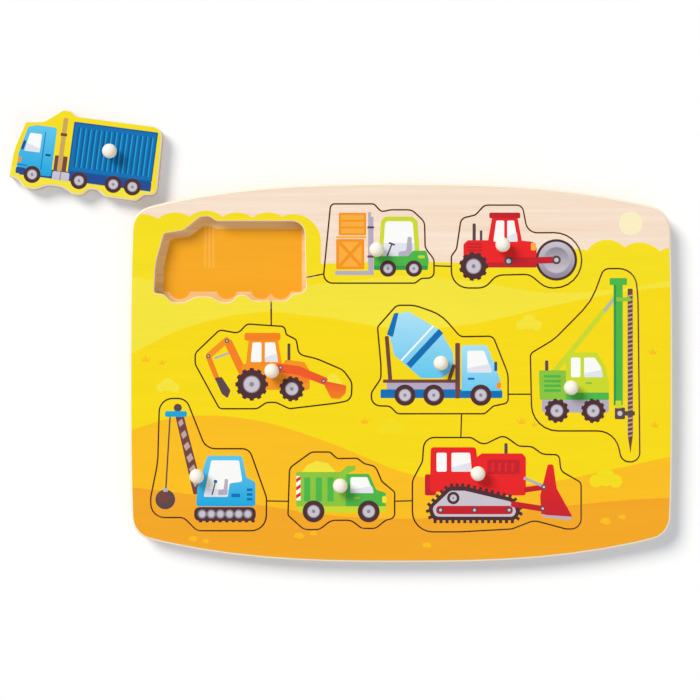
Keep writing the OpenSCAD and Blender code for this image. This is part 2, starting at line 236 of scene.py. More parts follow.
def make_sawn_edge():
    material, tree, shader = new_material("sawn_plywood_edge")
    place = attribute(tree, "grain", "Vector")
    ply = attribute(tree, "ply", "Fac")
    arris = attribute(tree, "arris", "Fac")
    across = number(tree, "GREATER_THAN", number(tree, "MODULO", ply, 2.0), 1.0)
    seam = number(tree, "PINGPONG", ply, 1.0)
    long_grain = streaks(tree, place, (240, 240, 5200), 4)
    end_grain = streaks(tree, place, (3800, 3800, 3800), 3)
    light = streaked(tree, "long_ply", span(tree, long_grain, 0.0, 1.0))
    dark = streaked(tree, "cross_ply", span(tree, end_grain, 0.0, 1.0))
    wood = blend(tree, "MIX", across, light, dark)
    # Top plies of wide arrises painted pale: sanded wood and a painted highlight
    wide = number(tree, "GREATER_THAN", arris, FINE_ARRIS * MM)
    sanded_and_highlight = times(tree, span(tree, ply, 1.0, 0.0, 0.45, 0.7), wide)
    wood = blend(tree, "MIX", sanded_and_highlight, wood, linear(SANDED_AND_HIGHLIGHT))
    # Top plies of fine arrises painted brown: painted shade down in the kerfs and wells
    sharp = number(tree, "LESS_THAN", arris, FINE_ARRIS * MM)
    brown = times(tree, span(tree, ply, 1.0, 0.0, 0.02, 0.35), sharp)
    wood = blend(tree, "MIX", brown, wood, linear(PAINTED_KERF_SHADE))
    glue = span(tree, seam, 0.62, 1.0, 0.0, 0.07)
    set_finish(tree, shader, wood, glue, span(tree, end_grain, 0.6, 0.78), 0.0, end_grain, 0.25)
    return material


def make_peg_wood():
    material, tree, shader = new_material("turned_peg_wood")
    place = attribute(tree, "turning", "Vector")
    warp = streaks(tree, place, (260, 260, 60), 2)
    rings = streaks(tree, place, (900, 260, 45), 3)
    fine = streaks(tree, place, (4200, 4200, 300), 3)
    base = streaked(tree, "peg", span(tree, rings, 0.0, 1.0), span(tree, warp, 0.0, 0.4))
    tone = span(tree, fine, 0.96, 1.015)
    set_finish(tree, shader, base, tone, span(tree, fine, 0.4, 0.55), 0.35, fine, 0.12)
    return material


printed_ink = make_printed_ink()
bare_face = make_bare_face("bare")
backing_face = make_bare_face("backing")
sawn_edge = make_sawn_edge()
peg_wood = make_peg_wood()


# Node trees that shape the sheets and the pegs
def new_tree(name, inputs):
    tree = bpy.data.node_groups.new(name, "GeometryNodeTree")
    sockets = tree.interface
    sockets.new_socket("Geometry", in_out="INPUT", socket_type="NodeSocketGeometry")
    sockets.new_socket("Geometry", in_out="OUTPUT", socket_type="NodeSocketGeometry")
    for socket, kind in inputs:
        sockets.new_socket(socket, in_out="INPUT", socket_type="NodeSocket" + kind)
    return tree, tree.nodes.new("NodeGroupInput").outputs


def geometry(tree, kind, wires, **settings):
    return add(tree, "GeometryNode" + kind, wires, **settings).outputs["Geometry"]


def vector_math(tree, operation, wires, output="Vector"):
    return add(tree, "ShaderNodeVectorMath", wires, operation=operation).outputs[output]


def along_z(tree, value):
    return add(tree, "ShaderNodeCombineXYZ", {"Z": value}).outputs["Vector"]


def is_more(tree, first, second):
    compare = add(tree, "FunctionNodeCompare", {0: first, 1: second}, operation="GREATER_THAN")
    return compare.outputs["Result"]


def smooth_shaded(tree, mesh, angle):
    smooth = geometry(tree, "SetShadeSmooth", {"Geometry": mesh, "Shade Smooth": True})
    bend = add(tree, "GeometryNodeInputMeshEdgeAngle").outputs["Unsigned Angle"]
    sharp = is_more(tree, bend, angle)
    return geometry(tree, "SetShadeSmooth",
                    {"Geometry": smooth, "Shade Smooth": False, "Selection": sharp}, domain="EDGE")


def end_tree(tree, result):
    last = tree.nodes.new("NodeGroupOutput")
    tree.links.new(result, last.inputs["Geometry"])
    return tree


def make_sheet_tree():
    """Gives a printed face its rounded arris, sawn edge and back."""
    tree, given = new_tree("sawn_sheet", [
        ("Top", "Float"), ("Thickness", "Float"), ("Back Arris", "Float"), ("Plies", "Float"),
        ("Edge Wood", "Material"), ("Back Wood", "Material")])
    face = given["Geometry"]
    arris = add(tree, "GeometryNodeInputNamedAttribute", {"Name": "arris"}).outputs["Attribute"]

    # Direction out of the sheet at each edge of the face
    ends = add(tree, "GeometryNodeInputMeshEdgeVertices").outputs
    run = vector_math(tree, "SUBTRACT", {0: ends["Position 2"], 1: ends["Position 1"]})
    side = vector_math(tree, "CROSS_PRODUCT", {0: run, 1: (0, 0, 1)})
    side = vector_math(tree, "NORMALIZE", {0: side})
    corner = add(tree, "GeometryNodeCornersOfEdge").outputs["Corner Index"]
    owner = add(tree, "GeometryNodeFaceOfCorner", {"Corner Index": corner}).outputs["Face Index"]
    place = add(tree, "GeometryNodeInputPosition").outputs["Position"]
    centre = add(tree, "GeometryNodeFieldAtIndex", {"Value": place, "Index": owner},
                 domain="FACE", data_type="FLOAT_VECTOR").outputs["Value"]
    away = vector_math(tree, "SUBTRACT", {0: ends["Position 1"], 1: centre})
    facing = vector_math(tree, "DOT_PRODUCT", {0: side, 1: away}, "Value")
    reach = times(tree, number(tree, "SIGN", facing), arris)
    outward = vector_math(tree, "SCALE", {0: side, "Scale": reach})
    keep = add(tree, "GeometryNodeCaptureAttribute", domain="EDGE")
    keep.capture_items.new("VECTOR", "Outward")
    tree.links.new(face, keep.inputs["Geometry"])
    tree.links.new(outward, keep.inputs["Outward"])
    out = keep.outputs["Outward"]

    # Arris, sawn wall and the turn under the back
    beside = add(tree, "GeometryNodeInputMeshEdgeNeighbors").outputs["Face Count"]
    rim = add(tree, "FunctionNodeCompare", {2: beside, 3: 1}, data_type="INT", operation="EQUAL")
    offsets = []
    for out_share, drop_share in ARRIS_TURNS:
        over = vector_math(tree, "SCALE", {0: out, "Scale": out_share})
        drop = along_z(tree, times(tree, arris, drop_share))
        offsets.append(vector_math(tree, "ADD", {0: over, 1: drop}))
    both = number(tree, "ADD", arris, given["Back Arris"])
    offsets.append(along_z(tree, number(tree, "SUBTRACT", both, given["Thickness"])))
    inward = vector_math(tree, "SCALE", {0: out, "Scale": -1.0})
    under = along_z(tree, times(tree, given["Back Arris"], -1.0))
    offsets.append(vector_math(tree, "ADD", {0: inward, 1: under}))
    mesh, chosen = keep.outputs["Geometry"], rim.outputs["Result"]
    for offset in offsets:
        wires = {"Mesh": mesh, "Selection": chosen, "Offset": offset, "Offset Scale": 1.0}
        step = add(tree, "GeometryNodeExtrudeMesh", wires, mode="EDGES").outputs
        mesh, chosen = step["Mesh"], step["Top"]

    # Back of the sheet, closed against the sawn edge
    down = along_z(tree, times(tree, given["Thickness"], -1.0))
    copy = geometry(tree, "Transform", {"Geometry": face, "Translation": down})
    back = add(tree, "GeometryNodeFlipFaces", {"Mesh": copy}).outputs["Mesh"]
    join = add(tree, "GeometryNodeJoinGeometry")
    tree.links.new(back, join.inputs["Geometry"])
    tree.links.new(mesh, join.inputs["Geometry"])
    sheet = geometry(tree, "MergeByDistance", {"Geometry": join.outputs["Geometry"], "Distance": JOIN})

    # Count of plies below the face, for the edge wood
    height = add(tree, "ShaderNodeSeparateXYZ", {"Vector": place}).outputs["Z"]
    depth = number(tree, "DIVIDE", number(tree, "SUBTRACT", given["Top"], height), given["Thickness"])
    plies = times(tree, depth, given["Plies"])
    sheet = geometry(tree, "StoreNamedAttribute", {"Geometry": sheet, "Name": "ply", "Value": plies},
                     data_type="FLOAT", domain="POINT")

    # Woods by the way each face looks
    normal = add(tree, "GeometryNodeInputNormal").outputs["Normal"]
    tilt = add(tree, "ShaderNodeSeparateXYZ", {"Vector": normal}).outputs["Z"]
    upright = is_more(tree, LEVEL, number(tree, "ABSOLUTE", tilt))
    downward = is_more(tree, -LEVEL, tilt)
    sheet = smooth_shaded(tree, sheet, SHEET_CREASE)
    sheet = geometry(tree, "RealizeInstances", {"Geometry": sheet})
    for chosen, wood in ((upright, "Edge Wood"), (downward, "Back Wood")):
        sheet = geometry(tree, "SetMaterial",
                         {"Geometry": sheet, "Selection": chosen, "Material": given[wood]})
    return end_tree(tree, sheet)


def make_lathe_tree():
    """Turns a half outline about the upright axis and stands it in its place."""
    tree, given = new_tree("turned_peg",
                           [("Sides", "Int"), ("Place", "Vector"), ("Wood", "Material")])
    outline = given["Geometry"]
    rows = add(tree, "GeometryNodeAttributeDomainSize", {"Geometry": outline}).outputs["Point Count"]
    columns = number(tree, "ADD", given["Sides"], 1.0)
    grid = add(tree, "GeometryNodeMeshGrid",
               {"Size X": 1.0, "Size Y": 1.0, "Vertices X": columns, "Vertices Y": rows})
    place = add(tree, "GeometryNodeInputPosition").outputs["Position"]
    flat = add(tree, "ShaderNodeSeparateXYZ", {"Vector": place}).outputs
    angle = times(tree, number(tree, "ADD", flat["X"], 0.5), 2 * math.pi)
    share = number(tree, "ADD", flat["Y"], 0.5)
    row = number(tree, "ROUND", times(tree, share, number(tree, "SUBTRACT", rows, 1.0)))
    spot = add(tree, "GeometryNodeSampleIndex", {"Geometry": outline, "Value": place, "Index": row},
               data_type="FLOAT_VECTOR").outputs["Value"]
    half = add(tree, "ShaderNodeSeparateXYZ", {"Vector": spot}).outputs
    x = times(tree, half["X"], number(tree, "COSINE", angle))
    y = times(tree, half["X"], number(tree, "SINE", angle))
    round_place = add(tree, "ShaderNodeCombineXYZ", {"X": x, "Y": y, "Z": half["Z"]}).outputs["Vector"]
    peg = geometry(tree, "SetPosition", {"Geometry": grid.outputs["Mesh"], "Position": round_place})
    peg = geometry(tree, "MergeByDistance", {"Geometry": peg, "Distance": JOIN})
    shift = vector_math(tree, "SCALE", {0: given["Place"], "Scale": GRAIN_SHIFT})
    grain = vector_math(tree, "ADD", {0: place, 1: shift})
    peg = geometry(tree, "StoreNamedAttribute", {"Geometry": peg, "Name": "turning", "Value": grain},
                   data_type="FLOAT_VECTOR", domain="POINT")
    peg = geometry(tree, "SetPosition", {"Geometry": peg, "Offset": given["Place"]})
    peg = smooth_shaded(tree, peg, PEG_CREASE)
    peg = geometry(tree, "RealizeInstances", {"Geometry": peg})
    peg = geometry(tree, "SetMaterial", {"Geometry": peg, "Material": given["Wood"]})
    return end_tree(tree, peg)


sheet_tree = make_sheet_tree()
lathe_tree = make_lathe_tree()


def shaped(name, mesh, tree, sizes):
    """A plain mesh object made from a start mesh by a node tree."""
    piece = bpy.data.objects.new(name, mesh)
    modifier = piece.modifiers.new(tree.name, "NODES")
    modifier.node_group = tree
    for item in tree.interface.items_tree:
        if item.item_type == "SOCKET" and item.in_out == "INPUT" and item.name in sizes:
            modifier[item.identifier] = sizes[item.name]
    bpy.context.scene.collection.objects.link(piece)
    graph = bpy.context.evaluated_depsgraph_get()
    result = bpy.data.meshes.new_from_object(
        piece.evaluated_get(graph), preserve_all_data_layers=True, depsgraph=graph)
    piece.modifiers.remove(modifier)
    piece.data = result
    result.name = name
    bpy.data.meshes.remove(mesh)
    return piece


# Outlines read from the solids, in millimetres
def top_rings(node):
    """Closed rings around a solid's top face, with the wood on their left, and its height."""
    solid = bmesh.new()
    solid.from_mesh(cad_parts[node].data)
    bmesh.ops.remove_doubles(solid, verts=solid.verts, dist=WELD)
    top = max(v.co.z for v in solid.verts)
    level = [f for f in solid.faces if all(top - v.co.z < FLAT for v in f.verts)]
    top_faces = set(level)
    following = {}
    for face in level:
        for loop in face.loops:
            if sum(other in top_faces for other in loop.edge.link_faces) == 1:
                following[loop.vert.index] = loop.link_loop_next.vert.index
    solid.verts.ensure_lookup_table()
    rings = []
    while following:
        at, ahead = following.popitem()
        ring = [at]
        while ahead != ring[0]:
            ring.append(ahead)
            ahead = following.pop(ahead)
        rings.append([(solid.verts[i].co.x / MM, solid.verts[i].co.y / MM) for i in ring])
    solid.free()
    rings.sort(key=lambda ring: -ring_width(ring))
    return rings, top / MM


def ring_width(ring):
    return max(p[0] for p in ring) - min(p[0] for p in ring)


def inset(ring, arris):
    """The ring moved into the wood by the arris at each point."""
    spots = np.array(ring)
    run = np.roll(spots, -1, axis=0) - spots
    out = np.stack([run[:, 1], -run[:, 0]], axis=1) / np.linalg.norm(run, axis=1)[:, None]
    out = (out + np.roll(out, 1, axis=0)) / 2
    return [tuple(p) for p in spots - out * arris(spots)[:, None]]


def even_arris(width):
    return lambda spots: np.full(len(spots), width)


# Drawing with flat shapes
def rounded(points, radius):
    """The ring of points with every corner drawn as a curve."""
    ring = []
    count = len(points)
    for i in range(count):
        px, py = points[i]
        ax, ay = points[i - 1][0] - px, points[i - 1][1] - py
        bx, by = points[(i + 1) % count][0] - px, points[(i + 1) % count][1] - py
        a_long, b_long = math.hypot(ax, ay), math.hypot(bx, by)
        share = max(-1.0, min(1.0, (ax * bx + ay * by) / (a_long * b_long)))
        reach = min(radius / math.tan(math.acos(share) / 2), CORNER_REACH * a_long, CORNER_REACH * b_long)
        start = (px + ax / a_long * reach, py + ay / a_long * reach)
        end = (px + bx / b_long * reach, py + by / b_long * reach)
        for k in range(ARC_STEPS + 1):
            t = k / ARC_STEPS
            keep, bend, go = (1 - t) ** 2, 2 * t * (1 - t), t * t
            ring.append((keep * start[0] + bend * px + go * end[0],
                         keep * start[1] + bend * py + go * end[1]))
    return ring


def round_ring(x, y, radius, steps=DISC_STEPS):
    turn = 2 * math.pi / steps
    return [(x + radius * math.cos(k * turn), y + radius * math.sin(k * turn)) for k in range(steps)]


# Corners of a tyre's lug: turn as a share of the spacing, reach as a share of the radius
LUG_CORNERS = ((-0.30, 1.0), (-0.22, 1.13), (0.22, 1.13), (0.30, 1.0))

# Discs of a wheel over its tyre, as shares of the radius
WHEEL_DISCS = (("rim", 0.60), ("hub", 0.52), ("rim", 0.16))


class Drawing:
    """Flat shapes printed one over the other, in millimetres."""

    def __init__(self):
        self.shapes = []

    def area(self, ink, points, rounding=0.0):
        ring = rounded(points, rounding) if rounding else list(points)
        self.shapes.append((ink, ring))

    def box(self, ink, x0, y0, x1, y1, rounding=0.0):
        self.area(ink, [(x0, y0), (x1, y0), (x1, y1), (x0, y1)], rounding)

    def boxes(self, ink, count, step, x0, y0, x1, y1, rounding):
        """Equal boxes in a row, each a step of x and y on from the last."""
        for k in range(count):
            dx, dy = step[0] * k, step[1] * k
            self.box(ink, x0 + dx, y0 + dy, x1 + dx, y1 + dy, rounding)

    def pane(self, corners, left, right, rounding, foot_rounding):
        """A window with a cooler tone along its foot, up to a point on the left and on the right."""
        self.area("white", corners, rounding)
        self.area("mist", [corners[0], left, right, corners[-1]], foot_rounding)

    def disc(self, ink, x, y, radius):
        self.area(ink, round_ring(x, y, radius))

    def bar(self, ink, start, end, width, rounding=0.0):
        run_x, run_y = end[0] - start[0], end[1] - start[1]
        half = width / 2 / math.hypot(run_x, run_y)
        sx, sy = -run_y * half, run_x * half
        self.area(ink, [(start[0] - sx, start[1] - sy), (end[0] - sx, end[1] - sy),
                        (end[0] + sx, end[1] + sy), (start[0] + sx, start[1] + sy)], rounding)

    def pin(self, x, y, radius):
        self.disc("iron", x, y, radius)
        self.disc("hub", x, y, radius / 2)

    def wheel(self, x, y, radius, lugs=0):
        ring = []
        for k in range(lugs):
            for share, reach in LUG_CORNERS:
                angle = (k + share) * 2 * math.pi / lugs
                ring.append((x + radius * reach * math.cos(angle),
                             y + radius * reach * math.sin(angle)))
        self.area("tyre", ring or round_ring(x, y, radius))
        for ink, share in WHEEL_DISCS:
            self.disc(ink, x, y, radius * share)

    def lugs(self, ink, path, spacing, width, reach):
        """Short lugs that stand out all along a closed path."""
        for i, (x0, y0) in enumerate(path):
            x1, y1 = path[(i + 1) % len(path)]
            length = math.hypot(x1 - x0, y1 - y0)
            count = max(1, round(length / spacing))
            out_x, out_y = (y1 - y0) / length * reach, -(x1 - x0) / length * reach
            for k in range(count):
                t = (k + 0.5) / count
                x, y = x0 + (x1 - x0) * t, y0 + (y1 - y0) * t
                self.bar(ink, (x - out_x, y - out_y), (x + out_x, y + out_y), width)

    def moved(self, x, y):
        return [(ink, [(p + x, q + y) for p, q in ring]) for ink, ring in self.shapes]


# Vehicles, each from the lower left corner of its cut line
def draw_truck(d):
    d.box("navy", 6, 7.4, 79, 12.4, 0.6)
    d.box("brown", 24.4, 11, 31.4, 20.5, 0.6)
    d.box("tan", 26.4, 12, 29, 41.6, 0.8)
    d.box("brown", 25.9, 31.5, 29.5, 33.1, 0.3)
    d.box("hub", 24.2, 7, 33.6, 11.8, 1.2)
    d.box("rim", 28.4, 7, 29, 11.8)
    d.area(("azure", "sky"),
           [(4.3, 8.4), (4.3, 19), (7.6, 34), (12, 35.6), (23.6, 35.6), (23.6, 8.4)], 1.5)
    d.pane([(7.1, 20.8), (9.2, 31), (15.8, 31), (15.8, 20.8)], (8.0, 25.2), (15.8, 23.0), 1.0, 0.6)
    d.box("ocean", 17.3, 11.5, 17.8, 32.6)
    d.box("navy", 19, 19.4, 22, 20.6, 0.5)
    d.box("ocean", 4.2, 12.6, 9.8, 13.2)
    d.box("navy", 3.9, 8, 9.2, 11.4, 0.8)
    d.box("orange", 4.4, 14.2, 6.2, 17.2, 0.7)
    d.bar("navy", (5.9, 21.4), (7.0, 26.4), 1.5, 0.6)
    d.box("deep", 32.4, 12.4, 79, 40.2, 0.8)
    d.box("ocean", 33.2, 13.2, 78.2, 39.4, 0.5)
    for k in range(15):
        x = 35 + 2.86 * k
        d.box("deep", x, 15.4, x + 1.2, 37.2)
        d.box("azure", x + 1.2, 15.4, x + 1.85, 37.2)
    for x, y in ((13.2, 8.3), (39.2, 8.3), (58.2, 8.7), (68.8, 8.7)):
        d.wheel(x, y, 4.7)


def draw_truck_base(d):
    """What the picture under the truck has besides the truck's own outline."""
    d.area("shade", [(7.6, 10), (7.6, 30), (9.0, 34.8), (18.6, 36.4), (25.8, 41.9), (30.4, 41.9),
                     (34, 40.2), (34, 10)], 1.0)
    d.box("shade", 30, 5.8, 80.6, 40.6, 0.8)
    d.box("shade", 4.1, 5.8, 40, 12, 1.2)
    for x in (13.2, 39.2, 58.2, 68.8):
        d.disc("shade", x, 7.8, 6.0)
    for x in (26.8, 29.0, 31.2):
        d.box("glow", x, 19, x + 0.9, 41.4)


def draw_forklift(d):
    d.box("orange", 8.2, 26.2, 23.2, 38.6, 0.6)
    d.boxes("apricot", 3, (0, 3.7), 9.3, 27.3, 22.1, 30.1, 0.3)
    d.box("apricot", 6.8, 24.6, 23.2, 25.8, 0.4)
    d.box("orange", 6.8, 7.6, 22.2, 24.2, 0.6)
    d.box("apricot", 8.3, 9.1, 20.7, 22.7, 0.3)
    d.bar("orange", (8.6, 9.4), (20.4, 22.4), 1.8)
    d.bar("orange", (8.6, 22.4), (20.4, 9.4), 1.8)
    d.box("steel", 6.2, 4.4, 27.4, 6.8, 0.5)
    d.box("steel", 24.3, 4.4, 25.9, 39, 0.4)
    d.box("lilac", 25.9, 5, 27.2, 36.4, 0.3)
    d.box("iron", 23.9, 14, 27.6, 15.2, 0.3)
    d.box("iron", 23.9, 30, 27.6, 31.2, 0.3)
    d.area("lime", [(29.8, 13), (31.4, 34), (33.6, 36.5), (48.6, 36.5), (51.4, 34), (52.6, 16),
                    (46, 13)], 1.4)
    d.area("white", [(32.4, 14.4), (33.6, 33), (34.8, 34), (47.4, 34), (48.8, 33), (50, 17),
                     (47, 14.4)], 0.9)
    d.area("mist", [(32.4, 14.4), (32.9, 22), (49.6, 22), (50, 17), (47, 14.4)], 0.6)
    d.area("steel", [(41, 14), (41, 17.2), (45.2, 17.8), (46, 25.4), (48.2, 25.4), (48.4, 16),
                     (46.6, 14)], 0.9)
    d.bar("iron", (34.4, 14), (37.4, 21.6), 0.8)
    d.bar("iron", (35.7, 22.2), (39, 20.9), 1.0, 0.4)
    d.area("green", [(27.4, 7.2), (27.4, 14.8), (46.2, 14.8), (49, 17.8), (56.2, 17.8), (57.6, 12.6),
                     (57, 7.2)], 1.2)
    d.area("forest", [(27.4, 7.2), (27.4, 9.6), (57.3, 9.6), (57, 7.2)], 0.7)
    d.box("lime", 51.8, 13.6, 55.4, 15.2, 0.5)
    d.wheel(35.2, 8, 4.5)
    d.wheel(49.4, 8, 4.5)


def draw_roller(d):
    d.box("iron", 11.6, 25, 13.4, 35.4, 0.6)
    d.box("iron", 15.6, 25, 17, 31.6, 0.5)
    d.area("red", [(6.6, 13), (6.6, 24), (9, 26.2), (36, 26.2), (44.8, 25.4), (46.8, 22), (46.8, 11.2),
                   (16, 11.2)], 1.4)
    d.box("crimson", 16, 11.2, 46.8, 14, 0.8)
    d.boxes("crimson", 3, (0, 1.7), 8.6, 20.2, 17, 21.1, 0.3)
    d.area("red", [(20, 25.4), (22.4, 39), (36.2, 39), (38.8, 25.4)], 0.5)
    d.box("crimson", 20.8, 38.2, 37.8, 41.4, 0.9)
    d.area("white", [(23, 25.4), (24.6, 37), (29, 37), (29, 25.4)], 0.8)
    d.pane([(30.6, 25.4), (30.6, 37), (34.4, 37), (36.4, 25.4)], (30.6, 28.4), (35.9, 30.4), 0.8, 0.5)
    d.box("apricot", 43.6, 20.6, 46.4, 24.8, 0.9)
    d.wheel(12.2, 11.9, 7.1, 11)
    d.disc("tyre", 57.6, 15.4, 11.4)
    d.area(("rim", "hub"), round_ring(57.6, 15.4, 10.0))
    d.disc("steel", 57.6, 15.4, 7.4)
    d.area(("hub", "rim"), round_ring(57.6, 15.4, 6.9))
    d.bar("crimson", (30.6, 14.8), (58, 15.4), 3.6, 1.6)
    d.pin(31.4, 14.8, 2.5)
    d.pin(57.6, 15.4, 2.4)


def draw_backhoe(d):
    d.bar("tangerine", (27.5, 17), (17.6, 37.6), 4.4, 1.8)
    d.bar("orange", (18.4, 38.6), (6.6, 28.4), 3.4, 1.5)
    d.bar("tangerine", (6.8, 29.6), (12.4, 15.6), 2.8, 1.2)
    d.bar("steel", (10.4, 27.6), (18.6, 30.6), 1.1)
    d.area("iron", [(10.6, 17), (14.6, 17.4), (19.4, 10), (17.8, 5.6), (14.6, 8.2)], 0.9)
    d.pin(17.4, 37.2, 1.2)
    d.pin(7.2, 28.8, 1.1)
    d.box("iron", 50.6, 24, 52.2, 35.8, 0.6)
    d.area("orange", [(25.4, 12), (25.4, 24.6), (48.4, 24.6), (49.4, 27), (60, 25.6), (62.8, 20.6),
                      (62.8, 10.4), (38, 10.4)], 1.3)
    d.box("tangerine", 49.2, 14, 61.8, 20, 0.8)
    d.area("orange", [(27.8, 24), (29.4, 38.4), (45.2, 38.4), (47.8, 24)], 0.5)
    d.box("tangerine", 27, 37.4, 46.8, 41.6, 1.4)
    d.area("white", [(30.4, 25.6), (31.4, 36.4), (36.4, 36.4), (36.4, 25.6)], 0.9)
    d.pane([(38.2, 25.6), (38.2, 36.4), (43.8, 36.4), (45.4, 25.6)], (38.2, 28.2), (44.9, 30.4), 0.9, 0.6)
    d.area("straw", [(70.4, 15.4), (74, 19), (77, 19.4), (82.2, 12.6)], 1.3)
    d.area("flame", [(43.4, 20.6), (44.6, 25), (57, 23.4), (73, 16.6), (71.4, 12.8), (56.6, 18.4)], 1.2)
    d.area(("tangerine", "flame"),
           [(69.4, 15.6), (83, 12.8), (82.4, 8.4), (79.4, 5.4), (74.6, 5.6)], 1.2)
    d.pin(46.8, 22.6, 1.2)
    d.pin(70.4, 15.2, 1.2)
    d.wheel(31, 13.4, 8.0, 12)
    d.wheel(53, 10.9, 6.2, 11)


def draw_mixer(d):
    d.box("ocean", 5, 8.6, 71.4, 13.4, 0.7)
    d.box("lilac", 8.4, 13.4, 48, 17.4, 0.4)
    d.box("brown", 6.4, 17, 48, 18.8, 0.4)
    d.area(("sky", "ice"), [(9.4, 45.4), (13, 54.6), (20.4, 56), (37.4, 46), (44.6, 34), (45.4, 24.4),
                            (38.8, 19.6), (27.2, 19.6), (12.6, 32)], 2.6)
    d.bar("ocean", (20.4, 26.2), (38.2, 45.4), 3.4)
    d.bar("white", (16.4, 29.2), (34, 48.2), 1.0)
    d.area("ocean", [(8.4, 43.4), (12.4, 55), (15, 55.6), (11.8, 42)], 0.7)
    d.bar("brown", (10.4, 18), (8.4, 42.6), 2.2, 0.6)
    d.bar("brown", (42.4, 18), (45.4, 27), 2.0, 0.6)
    d.box("brown", 46, 8.4, 48.6, 38.8, 0.5)
    d.area(("sky", "ice"),
           [(49.4, 9), (49.4, 37.6), (63.4, 37.6), (69.4, 21.8), (70.8, 18), (70.8, 9)], 1.8)
    d.pane([(52.6, 22.6), (52.6, 34.6), (61.8, 34.6), (66.2, 22.6)], (52.6, 25), (64.9, 27.4), 1.2, 0.8)
    d.box("ocean", 52.8, 18.6, 56.6, 19.8, 0.5)
    d.box("deep", 67.4, 23.4, 69, 28.6, 0.6)
    d.box("ocean", 49.4, 8.6, 71.8, 12.6, 0.7)
    d.box("orange", 68.6, 13.8, 71, 17.2, 0.8)
    for x in (18.4, 34.2, 60):
        d.wheel(x, 10.2, 5.8)


def draw_drill(d):
    d.bar("lime", (12, 48), (46.6, 90.4), 2.8)
    d.bar("steel", (40.4, 82.6), (46.6, 90.4), 1.4)
    d.box("green", 45.6, 31, 50.6, 98, 0.5)
    d.box("forest", 45.6, 31, 47, 97.6, 0.4)
    d.box("green", 43.4, 97, 53, 100.8, 0.8)
    d.box("brown", 53.3, 14, 56.1, 95, 0.5)
    d.area("brown", [(53.3, 14.4), (56.1, 14.4), (54.7, 4.6)])
    for k in range(33):
        y = 13.5 + 2.4 * k
        d.area("blush", [(53.0, y), (56.4, y + 0.9), (56.4, y + 1.7), (53.0, y + 0.8)])
    d.box("leaf", 47, 88, 55, 90.2, 0.5)
    d.box("iron", 46.2, 23.4, 51.8, 29.8, 0.8)
    d.box("iron", 51.4, 25.4, 57.2, 27.8, 0.6)
    d.disc("hub", 49, 26.6, 1.4)
    d.box("lime", 46.6, 29.4, 49.8, 33.6, 0.4)
    d.box("steel", 6.2, 27, 43, 34.8, 1.8)
    d.area("leaf", [(5, 34), (4.6, 50.2), (20.6, 50.2), (20.6, 34)], 1.1)
    d.boxes("green", 4, (0, 2.6), 7.4, 38.4, 16.6, 39.8, 0.4)
    d.box("iron", 8, 50, 9.8, 55.6, 0.5)
    d.area("lime", [(19.4, 34), (19.4, 60), (36.4, 60), (40.6, 53.4), (43, 44), (43, 34)], 1.6)
    d.box("green", 19.4, 34, 43, 38, 0.7)
    d.box("white", 22.2, 46.4, 27.4, 57.2, 1.0)
    d.pane([(29.4, 46.4), (29.4, 57.2), (35.2, 57.2), (38.6, 52), (39.8, 46.4)],
           (29.4, 48.6), (39.2, 50.4), 1.0, 0.7)
    d.box("leaf", 30.2, 42.6, 33.8, 43.8, 0.5)
    d.wheel(14.4, 28, 6.0, 11)
    d.wheel(34.4, 28, 6.0, 11)


def draw_crane(d):
    d.bar("iron", (10.6, 63), (8.2, 21), 0.8)
    d.disc("iron", 8, 17.2, 5.4)
    d.disc("brown", 7.2, 18.2, 3.4)
    d.box("steel", 6.8, 21.4, 9.4, 23.4, 0.4)
    d.area("brown", [(13.2, 64), (17.8, 64), (29.2, 20), (23.4, 20)], 0.6)
    for k in range(6):
        t = (k + 0.6) / 6.4
        x, y = 15.5 + 10.6 * t, 63 - 41 * t
        size = 1.5 + 0.9 * t
        d.area("blush", [(x - size, y + 0.3), (x + 0.5, y + 2.2 + t),
                         (x + size, y - 0.3), (x - 0.5, y - 2.2 - t)])
    d.disc("iron", 14.8, 67.4, 2.2)
    d.box("azure", 7.8, 62.4, 19.8, 65.6, 0.9)
    d.area(("azure", "sky"), [(24.8, 13.4), (25.6, 24), (31, 41.2), (50, 41.2), (52.4, 29.4),
                              (57.4, 26.6), (57.4, 13.4)], 1.7)
    d.pane([(29.0, 18.6), (33.2, 38.6), (48.4, 38.6), (50.2, 27.0), (43.2, 26.0), (42.2, 18.6)],
           (29.9, 23.0), (42.8, 22.6), 1.1, 0.7)
    d.area("steel", [(37, 19.6), (37, 22.4), (40, 22.8), (40.6, 28.4), (42.4, 28.4), (42, 19.6)], 0.7)
    d.bar("iron", (33.6, 19.6), (35.4, 26.6), 0.7)
    d.disc("ocean", 35.5, 27, 1.0)
    d.box("ocean", 44.2, 18.4, 49, 20.4, 0.5)
    d.boxes("ocean", 3, (0, 2.6), 52.6, 16.6, 55.8, 18, 0.4)
    for k in range(9):
        x = 26.4 + 3.6 * k
        d.box("tyre", x, 4.6, x + 1.8, 6.2)
    d.box("tyre", 23.8, 5.4, 57.6, 13, 3.4)
    for k in range(6):
        d.disc("rim", 28.2 + 5.0 * k, 9.2, 2.5)
        d.disc("hub", 28.2 + 5.0 * k, 9.2, 1.7)


